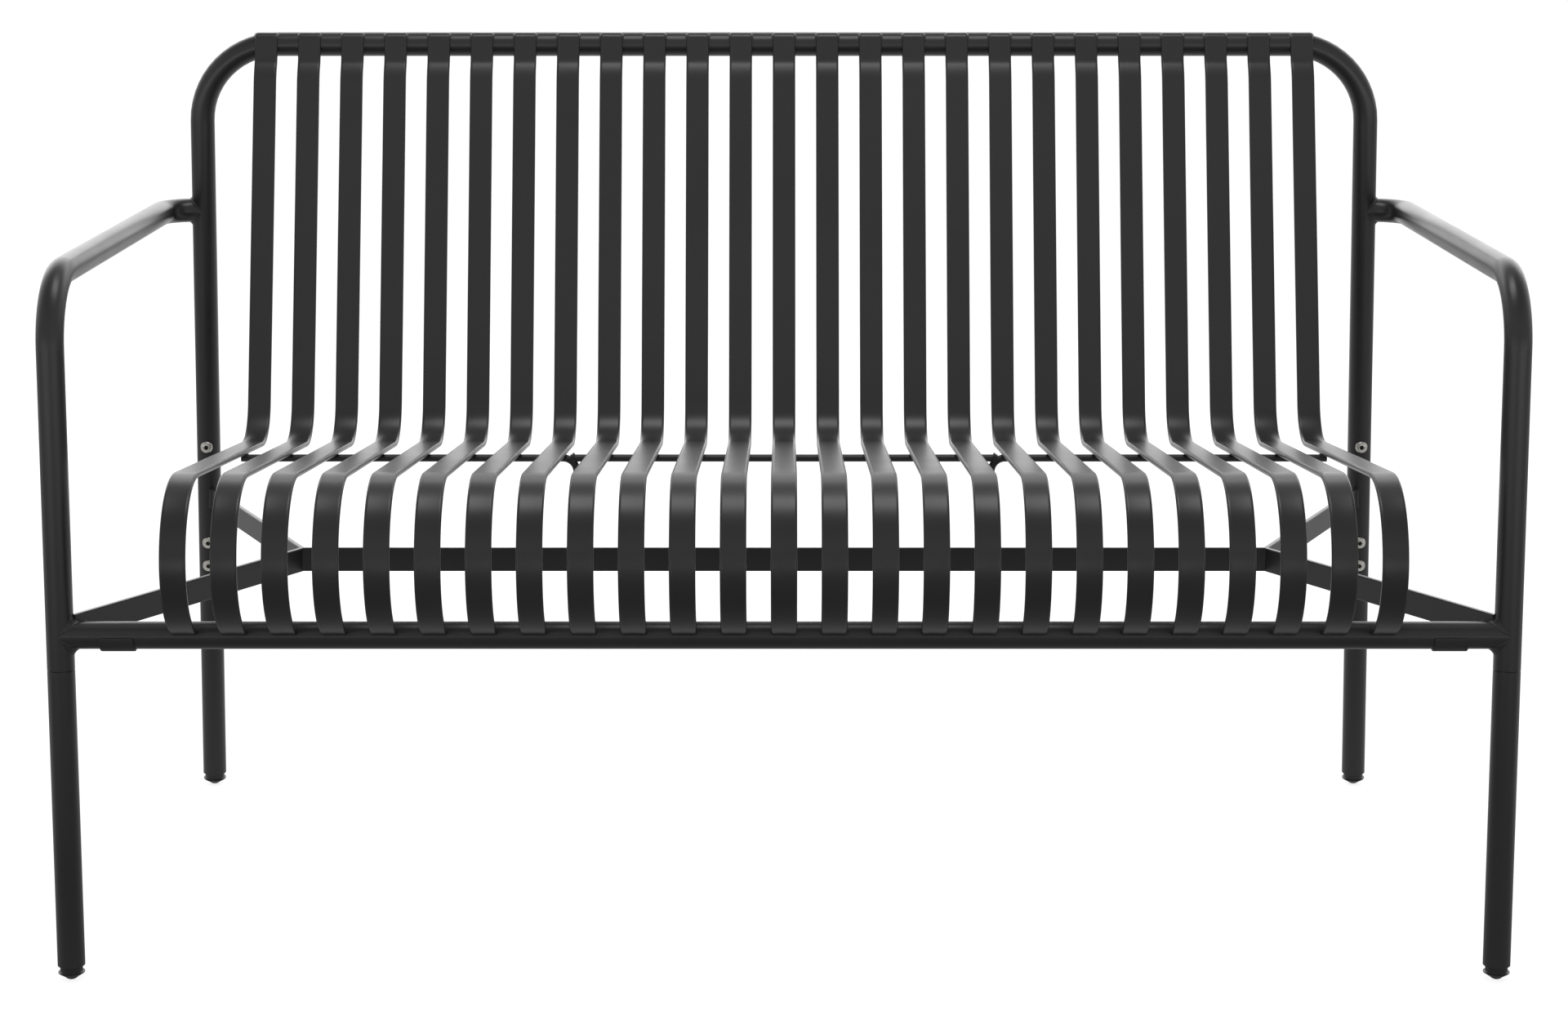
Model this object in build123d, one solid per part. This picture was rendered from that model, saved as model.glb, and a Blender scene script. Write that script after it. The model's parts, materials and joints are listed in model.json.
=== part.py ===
"""Two-seat outdoor bench: a tube frame, twenty-five flat bars bent to seat and back, and bolted lower legs.

Millimetres. The origin is on the floor, in the middle of the bench's width and depth. The sitter looks
along -Y, +X is on the right of someone who faces the bench, and +Z is up. Left and right are that
person's left and right. All of the frame is welded, so nothing moves.
"""

import os
from math import atan2, cos, degrees, radians, sin, tan

from build123d import *

# Overall sizes
overall_width = 1280.0
overall_depth = 677.0
overall_height = 803.0
seat_height = 451.3
arm_height = 633.5

# Round tube of the frame
tube_diameter = 24.0
tube_wall = 2.0
tube_seam_angle = 45.0
front_bend_radius = 60.0
rear_bend_radius = 30.0
hoop_bend_radius = 80.0
rear_top_inset = 43.0
rear_foot_inset = 21.0
crossbar_height = 310.5

# Flat bar, used for the slats and, on edge, for the brace under the seat
bar_width = 22.6
bar_thickness = 5.0
bar_edge_radius = 1.1

# Slats
slat_count = 25
slat_margin = 110.2
nose_radius = 71.0
nose_overhang = 60.0
seat_depth = 460.6
seat_slope = 6.07
back_recline = 14.84
crease_radius = 41.0
top_bend_radius = 60.0
wrap_start = 30.0
wrap_end = 45.0

# Rod under the seat, and the brace that carries it
rod_diameter = 7.0
rod_end_inset = 4.8
rod_post_pitches = 4.54
rod_bend_radius = 13.0
rod_overlap = 6.0
brace_top = 329.0
brace_setback = 272.0
brace_inset = 168.0

# Bolted joints between the upper tubes and the lower legs
front_seam_height = 280.0
rear_seam_height = 215.0
seam_chamfer = 0.45
spigot_clearance = 0.15
spigot_wall = 2.5
spigot_depth = 60.0
front_spigot_rise = 90.0
rear_spigot_rise = 182.0
front_bolt_rise = 68.0
rear_bolt_rises = (32.0, 57.0, 161.0)

# Button-head socket screws and the threaded inserts they pull into
screw_diameter = 6.0
screw_length = 13.0
screw_head_diameter = 12.4
screw_head_height = 3.3
screw_rim_height = 0.7
socket_width = 4.0
socket_depth = 2.0
hole_clearance = 0.3
thread_clearance = 0.05
insert_diameter = 10.0
insert_depth = 5.0

# Glides in the leg ends
foot_dome_radius = 8.0
foot_neck_radius = 5.6
foot_collar_diameter = 23.4
foot_flank_height = 6.2
foot_collar_height = 7.0
foot_stem_length = 18.0
foot_stem_clearance = 0.1
foot_flat_depth = 0.3

# Saddle pads under the crossbar
pad_length = 30.0
pad_thickness = 2.0
pad_edge_radius = 0.8
pad_inset = 51.0

# How far a cutting shape runs past what it cuts
overrun = 5.0

tube_radius = tube_diameter / 2
tube_bore_radius = tube_radius - tube_wall
front_y = -overall_depth / 2
leg_x = overall_width / 2 - tube_radius
leg_y = front_y + nose_overhang
arm_z = arm_height - tube_radius
rail_z = overall_height - tube_radius

# Side view of a slat, as (y, z) points. The visible face is the upper and front one.
slope = radians(seat_slope)
recline = radians(back_recline)
wrap_first = radians(wrap_start)
nose_y = front_y + nose_radius
nose_z = seat_height - nose_radius
nose_top_y = nose_y + nose_radius * sin(slope)
nose_top_z = nose_z + nose_radius * cos(slope)
crease_y = front_y + seat_depth
crease_z = nose_top_z - (crease_y - nose_top_y) * tan(slope)
crease_turn = 90.0 - back_recline + seat_slope
crease_run = crease_radius * tan(radians(crease_turn) / 2)
bend_y = crease_y - crease_run * cos(slope) + crease_radius * sin(slope)
bend_z = crease_z + crease_run * sin(slope) + crease_radius * cos(slope)
wrap_radius = tube_radius + bar_thickness
top_z = rail_z + wrap_radius * sin(wrap_first) - top_bend_radius * (sin(wrap_first) - sin(recline))
top_y = crease_y + (top_z - crease_z) * tan(recline)
top_bend_y = top_y + top_bend_radius * cos(recline)
top_bend_z = top_z - top_bend_radius * sin(recline)
rail_y = top_bend_y - (top_bend_radius - wrap_radius) * cos(wrap_first)
tip_angle = degrees(atan2(crossbar_height - nose_z, leg_y - nose_y))

# Centres of the domed feet, and the axes of the legs
foot_height = foot_flank_height + foot_collar_height
foot_centre_z = foot_dome_radius - foot_flat_depth
front_foot = Vector(leg_x, leg_y, foot_centre_z)
rear_foot = Vector(leg_x - rear_foot_inset, overall_depth / 2 - tube_radius, foot_centre_z)
hoop_corner = Vector(leg_x - rear_top_inset, rail_y, rail_z)
front_axis = Vector(0, 0, 1)
rear_axis = (hoop_corner - rear_foot).normalized()


def rear_point(height):
    """The point of the right rear leg's axis at a height above the floor."""
    return rear_foot + rear_axis * ((height - rear_foot.Z) / rear_axis.Z)


def leg_end(foot, axis):
    """The centre of the lower end of a leg's tube, where the glide's collar meets it."""
    return foot + axis * (foot_height - foot_dome_radius)


def round_bar(start, end, radius):
    """A solid round bar between two points."""
    run = end - start
    bar = Cylinder(radius, run.length, align=(Align.CENTER, Align.CENTER, Align.MIN))
    return Plane(origin=start, z_dir=run) * bar


def round_tube(start, end, radius, bore_radius):
    """A straight tube between two points."""
    return round_bar(start, end, radius) - round_bar(start, end, bore_radius)


def bent_tube(points, radii, radius, bore_radius=None):
    """A tube, or without a bore a bar, along straight runs joined by bends."""
    path = FilletPolyline(*points, radius=radii)
    mouth = Plane(origin=path @ 0, z_dir=path % 0) * Rot(0, 0, tube_seam_angle)
    skin = sweep(mouth * Circle(radius), path=path)
    if bore_radius is None:
        return skin
    return skin - sweep(mouth * Circle(bore_radius), path=path)


def mirrored(shape):
    """The left-hand copy of a right-hand shape."""
    return mirror(shape, about=Plane.YZ)


def eased(tube, point):
    """A tube with the outer rim at a joint chamfered, so that the joint shows as a fine line."""
    rims = tube.edges().filter_by(GeomType.CIRCLE)
    rims = [rim for rim in rims if (rim.arc_center - point).length < seam_chamfer]
    return chamfer(max(rims, key=lambda rim: rim.radius), seam_chamfer)


def bolt_plane(point, axis, facing):
    """A plane on the tube's surface at a bolt: its normal points out of the tube, along facing."""
    outward = (facing - axis * facing.dot(axis)).normalized()
    return Plane(origin=point + outward * tube_radius, z_dir=outward)


def bolt_hole(plane):
    """A clear hole through the walls of tube and spigot on one side."""
    depth = tube_wall + spigot_clearance + spigot_wall + overrun
    hole = Cylinder(screw_diameter / 2 + hole_clearance, depth + overrun)
    return plane * Pos(0, 0, (overrun - depth) / 2) * hole


def screw(plane):
    """A button-head screw with its head on the tube's surface and a hexagonal socket."""
    head_radius = screw_head_diameter / 2
    crown = screw_head_height - screw_rim_height
    socket_radius = socket_width / 2
    outline = Polyline(
        (0, screw_head_height),
        (0, -screw_length),
        (screw_diameter / 2, -screw_length),
        (screw_diameter / 2, 0),
        (head_radius, 0),
        (head_radius, screw_rim_height),
    )
    dome = ThreePointArc(
        (head_radius, screw_rim_height),
        (head_radius * cos(radians(45)), screw_rim_height + crown * sin(radians(45))),
        (socket_radius, screw_head_height),
    )
    cap = Line((socket_radius, screw_head_height), (0, screw_head_height))
    body = revolve(Plane.XZ * make_face(outline + dome + cap), Axis.Z)
    socket = extrude(RegularPolygon(socket_radius, 6, major_radius=False), overrun)
    return plane * (body - Pos(0, 0, screw_head_height - socket_depth) * socket)


def insert(plane, spigot_core):
    """A threaded insert inside the spigot's wall, shaped to the wall."""
    depth = tube_wall + spigot_clearance + spigot_wall
    blank = Cylinder(insert_diameter / 2, insert_depth, align=(Align.CENTER, Align.CENTER, Align.MAX))
    thread = Cylinder(screw_diameter / 2 + thread_clearance, overall_depth)
    return (plane * (Pos(0, 0, -depth) * blank - thread)) & spigot_core


def slat_outline():
    """The side view of one slat, from its tip in the crossbar to its end on the top rail."""

    def strip(inset):
        """One face of the bar: the visible one, or the hidden one at the bar's thickness."""
        nose = CenterArc((nose_y, nose_z), nose_radius - inset, 90.0 - seat_slope, tip_angle + 270.0 + seat_slope)
        crease = CenterArc((bend_y, bend_z), crease_radius + inset, 270.0 - seat_slope, crease_turn)
        top = CenterArc(
            (top_bend_y, top_bend_z), top_bend_radius - inset, 180.0 - wrap_start, wrap_start - back_recline
        )
        wrap = CenterArc((rail_y, rail_z), wrap_radius - inset, 180.0 - wrap_end, wrap_end - wrap_start)
        seat = Line(nose @ 0, crease @ 0)
        back = Line(crease @ 1, top @ 1)
        return nose, seat, crease, back, top, wrap

    visible = strip(0)
    hidden = strip(bar_thickness)
    tip = Line(visible[0] @ 1, hidden[0] @ 1)
    end = Line(visible[-1] @ 0, hidden[-1] @ 0)
    return make_face([*visible, end, *hidden, tip])


def slat():
    """One slat, in the middle of the bench, with rounded long edges, coped to crossbar and rail."""
    bar = extrude(Plane.YZ * slat_outline(), bar_width / 2, both=True)
    bar = fillet(bar.faces().filter_by(Axis.X).edges(), bar_edge_radius)
    return bar - cross_cut(leg_y, crossbar_height) - cross_cut(rail_y, rail_z)


def cross_cut(y, z):
    """A round bar of the tube's outer size along X, for coping what is welded to a cross tube."""
    return Pos(0, y, z) * Rot(0, 90, 0) * Cylinder(tube_radius, overall_width)


def edge_bar(start, end):
    """A flat bar standing on edge between two points of its middle line."""
    run = end - start
    section = Plane(origin=start, x_dir=(0, 0, 1), z_dir=run) * Rectangle(bar_width, bar_thickness)
    bar = extrude(section, run.length)
    return fillet(bar.edges().filter_by(Axis((0, 0, 0), tuple(run))), bar_edge_radius)


def rear_hoop():
    """Top rail and both rear uprights in one bent tube, open at the two lower ends."""
    low = rear_point(rear_seam_height)
    points = [
        (-low.X, low.Y, low.Z),
        (-hoop_corner.X, hoop_corner.Y, hoop_corner.Z),
        tuple(hoop_corner),
        tuple(low),
    ]
    hoop = bent_tube(points, hoop_bend_radius, tube_radius, tube_bore_radius)
    hoop = eased(eased(hoop, low), Vector(-low.X, low.Y, low.Z))
    for plane in rear_bolts:
        hoop -= bolt_hole(plane)
        hoop -= mirrored(bolt_hole(plane))
    return hoop


def arm_leg():
    """The right front leg and arm in one bent tube, coped to the rear upright."""
    joint = rear_point(arm_z)
    points = [
        (leg_x, leg_y, front_seam_height),
        (leg_x, leg_y, arm_z),
        (leg_x, joint.Y, arm_z),
        (joint.X, joint.Y, arm_z),
    ]
    tube = bent_tube(points, [front_bend_radius, rear_bend_radius], tube_radius, tube_bore_radius)
    tube = eased(tube, Vector(leg_x, leg_y, front_seam_height))
    return tube - round_bar(rear_foot, hoop_corner, tube_radius) - bolt_hole(front_bolt)


def lower_leg(foot, axis, top):
    """A lower leg from the seam down to its glide."""
    return eased(round_tube(leg_end(foot, axis), top, tube_radius, tube_bore_radius), top)


def spigot(seam, axis, rise, bolts):
    """The inner sleeve that joins a lower leg to the tube above, with its bolt holes."""
    radius = tube_bore_radius - spigot_clearance
    sleeve = round_tube(seam - axis * spigot_depth, seam + axis * rise, radius, radius - spigot_wall)
    for plane in bolts:
        sleeve -= bolt_hole(plane)
    return sleeve


def spigot_core(seam, axis, rise):
    """The room inside a spigot, which its inserts fill up to the wall."""
    radius = tube_bore_radius - spigot_clearance - spigot_wall
    return round_bar(seam - axis * spigot_depth, seam + axis * rise, radius)


def foot(centre, axis):
    """A domed glide with a collar under the tube's end and a stem inside it."""
    collar_radius = foot_collar_diameter / 2
    stem_radius = tube_bore_radius - foot_stem_clearance
    drop = (foot_dome_radius**2 - foot_neck_radius**2) ** 0.5
    flank_top = foot_flank_height - foot_dome_radius
    collar_top = foot_height - foot_dome_radius
    dome = ThreePointArc(
        (0, -foot_dome_radius),
        (foot_dome_radius * sin(radians(22)), -foot_dome_radius * cos(radians(22))),
        (foot_neck_radius, -drop),
    )
    side = Polyline(
        (foot_neck_radius, -drop),
        (collar_radius, flank_top),
        (collar_radius, collar_top),
        (stem_radius, collar_top),
        (stem_radius, collar_top + foot_stem_length),
        (0, collar_top + foot_stem_length),
        (0, -foot_dome_radius),
    )
    glide = revolve(Plane.XZ * make_face(dome + side), Axis.Z)
    floor = Box(tube_diameter * 2, tube_diameter * 2, overrun, align=(Align.CENTER, Align.CENTER, Align.MAX))
    return Plane(origin=centre, z_dir=axis) * glide - Pos(centre.X, centre.Y, 0) * floor


def front_crossbar():
    """The tube between the front legs, coped to both."""
    bar = round_tube(
        Vector(-leg_x, leg_y, crossbar_height), Vector(leg_x, leg_y, crossbar_height), tube_radius, tube_bore_radius
    )
    leg = round_bar(front_foot, Vector(leg_x, leg_y, overall_height), tube_radius)
    return bar - leg - mirrored(leg)


def stacking_pad():
    """The right saddle pad: a half shell round the underside of the crossbar, with soft edges."""
    shell = Circle(tube_radius + pad_thickness) - Circle(tube_radius)
    upper = Rectangle(tube_diameter * 2, tube_diameter * 2, align=(Align.CENTER, Align.MIN))
    saddle = extrude(Plane.YZ * (shell - upper), pad_length / 2, both=True)
    outer = saddle.edges().filter_by(GeomType.CIRCLE).group_by(lambda edge: round(edge.radius, 3))[-1]
    saddle = fillet(outer, pad_edge_radius)
    return Pos(leg_x - pad_inset, leg_y, crossbar_height) * saddle


brace_z = brace_top - bar_width / 2
brace_y = leg_y + brace_setback
slat_half_span = leg_x - slat_margin
slat_pitch = 2 * slat_half_span / (slat_count - 1)
rod_post_x = slat_pitch * rod_post_pitches
rod_y = brace_y
rod_z = (
    nose_top_z
    - (rod_y - nose_top_y) * tan(slope)
    - (bar_thickness + rod_diameter / 2) / cos(slope)
)
brace_half_length = leg_x - brace_inset
brace_end = Vector(brace_half_length - bar_thickness / 2, brace_y, brace_z)
front_bolt = bolt_plane(Vector(leg_x, leg_y, front_seam_height + front_bolt_rise), front_axis, Vector(0, 1, 0))
rear_seam = rear_point(rear_seam_height)
rear_bolts = [bolt_plane(rear_seam + rear_axis * rise, rear_axis, Vector(0, -1, 0)) for rise in rear_bolt_rises]


def crossmember():
    """The straight bar of the brace, under the middle of the seat."""
    return edge_bar(Vector(-brace_half_length, brace_y, brace_z), Vector(brace_half_length, brace_y, brace_z))


def braces():
    """The right front and rear brace bars, from the crossmember's end to leg and upright."""
    middle = crossmember()
    leg = round_bar(front_foot, Vector(leg_x, leg_y, overall_height), tube_radius)
    upright = round_bar(rear_foot, hoop_corner, tube_radius)
    front_end = Vector(leg_x - tube_radius, leg_y, brace_z)
    front = edge_bar(brace_end, front_end) - middle - leg - cross_cut(leg_y, crossbar_height)
    rear = edge_bar(brace_end, rear_point(brace_z)) - middle - upright - front
    return front, rear


def outer_rod():
    """The right rod: from the outermost slat inwards, then down on to the crossmember."""
    points = [
        (slat_half_span - rod_end_inset, rod_y, rod_z),
        (rod_post_x, rod_y, rod_z),
        (rod_post_x, rod_y, brace_top),
    ]
    return bent_tube(points, rod_bend_radius, rod_diameter / 2)


def middle_rod(right_rod):
    """The rod between the two posts, coped to their bends."""
    end = rod_post_x + rod_overlap
    rod = round_bar(Vector(-end, rod_y, rod_z), Vector(end, rod_y, rod_z), rod_diameter / 2)
    return rod - right_rod - mirrored(right_rod)


def build():
    """Every node by name: one solid, or a compound of separate solids."""
    nodes = {"rear_hoop": rear_hoop(), "front_crossbar": front_crossbar(), "brace_crossmember": crossmember()}
    bar = slat()
    for index in range(slat_count):
        nodes[f"slat_{index + 1:02d}"] = Pos(index * slat_pitch - slat_half_span, 0, 0) * bar

    front_brace, rear_brace = braces()
    rod = outer_rod()
    front_seam = Vector(leg_x, leg_y, front_seam_height)
    right = {
        "arm_leg": arm_leg(),
        "front_brace": front_brace,
        "rear_brace": rear_brace,
        "seat_rod": rod,
        "stacking_pad": stacking_pad(),
        "front_lower_leg": lower_leg(front_foot, front_axis, front_seam),
        "rear_lower_leg": lower_leg(rear_foot, rear_axis, rear_seam),
        "front_spigot": spigot(front_seam, front_axis, front_spigot_rise, [front_bolt]),
        "rear_spigot": spigot(rear_seam, rear_axis, rear_spigot_rise, rear_bolts),
        "front_foot": foot(front_foot, front_axis),
        "rear_foot": foot(rear_foot, rear_axis),
    }
    for name, shape in right.items():
        nodes["right_" + name] = shape
        nodes["left_" + name] = mirrored(shape)
    nodes["middle_seat_rod"] = middle_rod(rod)

    bolts = [screw(plane) for plane in [front_bolt, *rear_bolts]]
    inserts = [insert(front_bolt, spigot_core(front_seam, front_axis, front_spigot_rise))]
    rear_core = spigot_core(rear_seam, rear_axis, rear_spigot_rise)
    inserts += [insert(plane, rear_core) for plane in rear_bolts]
    nodes["leg_bolts"] = Compound([*bolts, *[mirrored(bolt) for bolt in bolts]])
    nodes["threaded_inserts"] = Compound([*inserts, *[mirrored(piece) for piece in inserts]])
    return nodes


os.makedirs("parts", exist_ok=True)
for name, shape in build().items():
    export_step(shape, f"parts/{name}.step")
    print(name, round(shape.volume))
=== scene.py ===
"""Looks of the slatted loveseat: satin powder coat, ground welds, stainless screws, rubber pads, studio.

Lengths are in millimetres while a piece is shaped, and in metres once it is an object. The sitter looks
along -Y, +X is on the right of someone who faces the bench, and +Z is up.
"""

import json
from math import atan2, cos, pi, radians, sin, tan

import bmesh
import bpy
from mathutils import Matrix, Vector

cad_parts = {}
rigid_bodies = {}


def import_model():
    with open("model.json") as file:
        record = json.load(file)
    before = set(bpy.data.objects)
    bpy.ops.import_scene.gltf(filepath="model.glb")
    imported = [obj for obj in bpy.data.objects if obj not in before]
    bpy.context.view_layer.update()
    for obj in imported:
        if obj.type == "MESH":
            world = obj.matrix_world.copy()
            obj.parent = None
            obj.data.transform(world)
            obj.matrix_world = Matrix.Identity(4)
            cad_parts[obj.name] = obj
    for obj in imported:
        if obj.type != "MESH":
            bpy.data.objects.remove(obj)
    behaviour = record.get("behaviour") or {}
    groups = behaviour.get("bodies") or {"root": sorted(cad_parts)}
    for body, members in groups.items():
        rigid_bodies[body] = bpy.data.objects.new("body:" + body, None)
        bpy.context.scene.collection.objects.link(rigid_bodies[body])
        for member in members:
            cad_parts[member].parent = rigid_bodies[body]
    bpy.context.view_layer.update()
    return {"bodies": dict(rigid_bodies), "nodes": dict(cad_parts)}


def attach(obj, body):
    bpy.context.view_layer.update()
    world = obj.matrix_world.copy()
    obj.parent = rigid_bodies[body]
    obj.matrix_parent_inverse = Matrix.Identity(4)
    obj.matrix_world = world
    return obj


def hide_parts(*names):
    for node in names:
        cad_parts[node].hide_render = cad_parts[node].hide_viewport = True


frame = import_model()
nodes = frame["nodes"]
body = "root" if "root" in frame["bodies"] else next(iter(frame["bodies"]))

MM = 0.001
MERGE_DISTANCE = 0.0005
CUT_DISTANCE = 0.0001
TINY = 0.001

# Tubes
TUBE_RADIUS = 12.0
LEG_X = 628.0
LEG_Y = -278.5
CROSSBAR_Z = 310.5
ARM_Z = 621.5
RAIL_Y = 242.112
RAIL_Z = 791.0
REAR_FOOT = Vector((607.0, 326.5, 7.7))
REAR_CORNER_X = 585.0

# Slats
SLAT_COUNT = 25
SLAT_PITCH = 43.15
BAR_WIDTH = 22.6
BAR_THICKNESS = 5.0
BAR_EDGE = 2.2
BAR_CUTS = (-8.8, -6.4, -3.9, -1.3, 1.3, 3.9, 6.4, 8.8)
NOSE_RADIUS = 71.0
FRONT_Y = -338.5
SEAT_HEIGHT = 451.3
SEAT_DEPTH = 460.6
SEAT_SLOPE = radians(6.07)
BACK_RECLINE = radians(14.84)
CREASE_RADIUS = 41.0

# Tip of a slat: its rounded corners, and how deep it ends in the crossbar
TIP_CORNER = 2.8
TIP_FINE_SHARE = 1.3
TIP_SUNK = 2.0

# Top of a slat: the bend backwards below the rail, the joggle up to the rail's face, and the shoulder over it
BACK_END_Z = 753.0
TOP_CURVE_RADIUS = 60.0
TOP_CURVE_TILT = radians(35)
JOGGLE_RADIUS = 22.0
LAP_TILT = radians(13)
SHOULDER_RADIUS = 7.0
SHOULDER_RUN = 2.5
RAIL_SUNK = 0.6
END_GAP = 1.0

# Bends of a slat: how far its face sags in the middle, over what length that fades, how far beyond the faces
# points still count, the short straight runs beside a bend, and the steps round each
SIDE_SAG = 0.3
SAG_FADE = 8.0
SAG_MARGIN = 1.0
HOLD = 1.5
NOSE_STEPS = 42
CREASE_STEPS = 22
BEND_STEPS = 12

# Brace, rods, seams and pads
BRACE_TOP = 329.0
BRACE_Y = -6.5
BRACE_HALF_LENGTH = 460.0
ROD_DIAMETER = 7.0
ROD_Y = BRACE_Y
ROD_Z = 415.4
ROD_POST_X = 195.9
FRONT_SEAM_Z = 280.0
REAR_SEAM_Z = 215.0
PAD_X = 577.0
PAD_LENGTH = 30.0
PAD_THICKNESS = 2.0
PAD_CORNER = 0.9
PAD_ROUND = 2.0
PAD_CUTS = (-13.8, -12.0, 12.0, 13.8)
PAD_END_TURN = radians(8)
PAD_END_STEPS = 6
PAD_MIDDLE_TURN = radians(164)
PAD_MIDDLE_STEPS = 40

# Screws: how high they sit over the seams, and their turned outlines as (radius, height) over the tube
FRONT_SCREW_RISE = 68.0
REAR_SCREW_RISES = (32.0, 57.0, 161.0)
HEAD_RADIUS = 6.2
RIM_HEIGHT = 0.7
CROWN_HEIGHT = 2.6
CROWN_ANGLES = (6, 14, 24, 34, 44, 54, 61)
SHANK_OUTLINE = ((2.3, -13.0), (3.0, -12.3), (3.0, -2.5), (3.0, -0.2))
RIM_OUTLINE = ((5.9, -0.1), (6.15, 0.05), (6.2, 0.3), (6.2, 0.6))
SOCKET_OUTLINE = ((2.85, 3.1), (2.7, 3.1), (2.31, 2.85), (2.31, 2.7), (2.31, 1.3), (2.2, 1.15), (0.4, 0.6))
# Outline of the dark insert that paints the shade inside each socket
SHADE_INSERT_OUTLINE = ((0.4, 0.7), (2.5, 0.7), (2.5, 2.62), (2.15, 2.62), (2.1, 1.3), (0.4, 1.2))
SOCKET_HALF_WIDTH = 2.0
SOCKET_RADIUS = 2.31
SOCKET_REACH = 2.4
SOCKET_FLOOR = 1.1
SHADE_INSERT_SHARE = 0.87
SCREW_SEGMENTS = 24

# Glides: the dome that stands on the floor, and the outline of neck, collar and stem, as (radius, height)
DOME_RADIUS = 8.0
DOME_ANGLES = (4, 12, 20, 28, 36, 43)
NECK_OUTLINE = ((5.9, -5.4), (8.6, -3.6), (11.0, -2.1), (11.55, -1.7), (11.7, -1.3), (11.7, -1.0))
STEM_OUTLINE = ((11.6, -0.82), (11.2, -0.8), (9.9, -0.8), (9.9, 0.5), (9.9, 16.6), (9.2, 17.2), (0.5, 17.2))
GLIDE_SEGMENTS = 40

# Weld beads: how far they swell out of their hollow and ripple, and how far off a joint's corner may lie, as
# shares of their radius, then their points, how deep they are buried, how much of a bead is gone at its end,
# over how many steps it fades there, and the length of a step
WELD_SWELL = 0.10
WELD_RIPPLE = 0.05
WELD_RIPPLE_TURN = 2 * pi / 4
WELD_CORNER_LIMIT = 2.2
WELD_POINTS = 7
WELD_BURY = 0.8
WELD_END_LOSS = 0.8
WELD_FADE = 3
WELD_STEP = 0.55

# The radius that each weld fills, how far it reaches to both sides, and on round tubes its angles in degrees
TIP_FILLET = 2.2
RAIL_FILLET = 2.0
SLAT_WELD_REACH = 9.5
RAIL_SIDE_FILLET = 1.1
RAIL_SIDE_START = 156
RAIL_SIDE_TURN = 38
RAIL_SIDE_STEPS = 18
RAIL_SIDE_FADE = 5
CROSSBAR_FILLET = 5.5
ARM_FILLET = 3.0
TUBE_WELD_TURN = radians(82)
TUBE_WELD_STEPS = 24
TUBE_WELD_FADE = 6
BRACE_FILLET = 2.2
BRACE_WELD_INSET = 1.5
BRACE_END_START = -18
BRACE_END_TURN = 76
BRACE_END_STEPS = 32
ROD_FILLET = 1.3
ROD_WELD_REACH = 4.0
END_WELD_INSET = 7.0
POST_BEAD_RADIUS = 1.3
POST_BEAD_LIFT = 0.3
POST_BEAD_SIDES = 8
POST_BEAD_STEPS = 24
POST_TOP_SHIFT = 3.0
POST_FOOT_LIFT = 0.2


def new_piece(name, mesh_data, material):
    """A finished mesh as a piece of the bench, riding on its one body."""
    piece = bpy.data.objects.new(name, mesh_data)
    bpy.context.scene.collection.objects.link(piece)
    piece.data.materials.append(material)
    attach(piece, body)
    return piece


def finished(bm, name):
    """The bmesh, shaped in millimetres, as a smooth-shaded mesh in metres."""
    bmesh.ops.remove_doubles(bm, verts=bm.verts, dist=MERGE_DISTANCE)
    bmesh.ops.recalc_face_normals(bm, faces=bm.faces)
    bmesh.ops.scale(bm, vec=(MM, MM, MM), verts=bm.verts)
    for face in bm.faces:
        face.smooth = True
    mesh_data = bpy.data.meshes.new(name)
    bm.to_mesh(mesh_data)
    bm.free()
    return mesh_data


# Materials
def shader(name):
    """A new node material and its Principled shader."""
    material = bpy.data.materials.new(name)
    material.use_nodes = True
    return material, material.node_tree, material.node_tree.nodes["Principled BSDF"]


def pattern(tree, kind, scale, **settings):
    """A procedural texture that reads Object coordinates at a scale per metre."""
    place = tree.nodes.new("ShaderNodeTexCoord")
    texture = tree.nodes.new(kind)
    texture.inputs["Scale"].default_value = scale
    for socket, value in settings.items():
        texture.inputs[socket].default_value = value
    tree.links.new(place.outputs["Object"], texture.inputs["Vector"])
    return texture


def ramp(tree, source, low, high, start=0.35, end=0.65):
    """Turns a texture's value into a colour or a grey between two ends."""
    blend = tree.nodes.new("ShaderNodeValToRGB")
    blend.color_ramp.elements[0].position = start
    blend.color_ramp.elements[1].position = end
    blend.color_ramp.elements[0].color = low
    blend.color_ramp.elements[1].color = high
    tree.links.new(source, blend.inputs["Fac"])
    return blend.outputs["Color"]


def grey(value):
    """A grey of a level as a colour."""
    return (value, value, value, 1.0)


def bump(tree, source, depth, strength=1.0, under=None):
    """A bump of a depth in metres from a texture's value, over another bump where one is given."""
    relief = tree.nodes.new("ShaderNodeBump")
    relief.inputs["Distance"].default_value = depth
    relief.inputs["Strength"].default_value = strength
    tree.links.new(source, relief.inputs["Height"])
    if under is not None:
        tree.links.new(under, relief.inputs["Normal"])
    return relief.outputs["Normal"]


def satin_coat():
    """Dark grey powder coat: an even colour, a fine orange-peel skin, a satin gloss that varies a little."""
    material, tree, coat = shader("satin_powder_coat")
    cloud = pattern(tree, "ShaderNodeTexNoise", 9.0, Detail=3.0)
    fleck = pattern(tree, "ShaderNodeTexNoise", 1400.0, Detail=2.0)
    peel = pattern(tree, "ShaderNodeTexNoise", 420.0, Detail=1.0)
    dark, light = (0.0140, 0.0143, 0.0140, 1.0), (0.0165, 0.0168, 0.0164, 1.0)
    tree.links.new(ramp(tree, cloud.outputs["Fac"], dark, light), coat.inputs["Base Color"])
    gloss = ramp(tree, cloud.outputs["Fac"], grey(0.32), grey(0.36))
    tree.links.new(gloss, coat.inputs["Roughness"])
    skin = bump(tree, peel.outputs["Fac"], 0.000005)
    tree.links.new(bump(tree, fleck.outputs["Fac"], 0.000002, under=skin), coat.inputs["Normal"])
    return material


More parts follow.
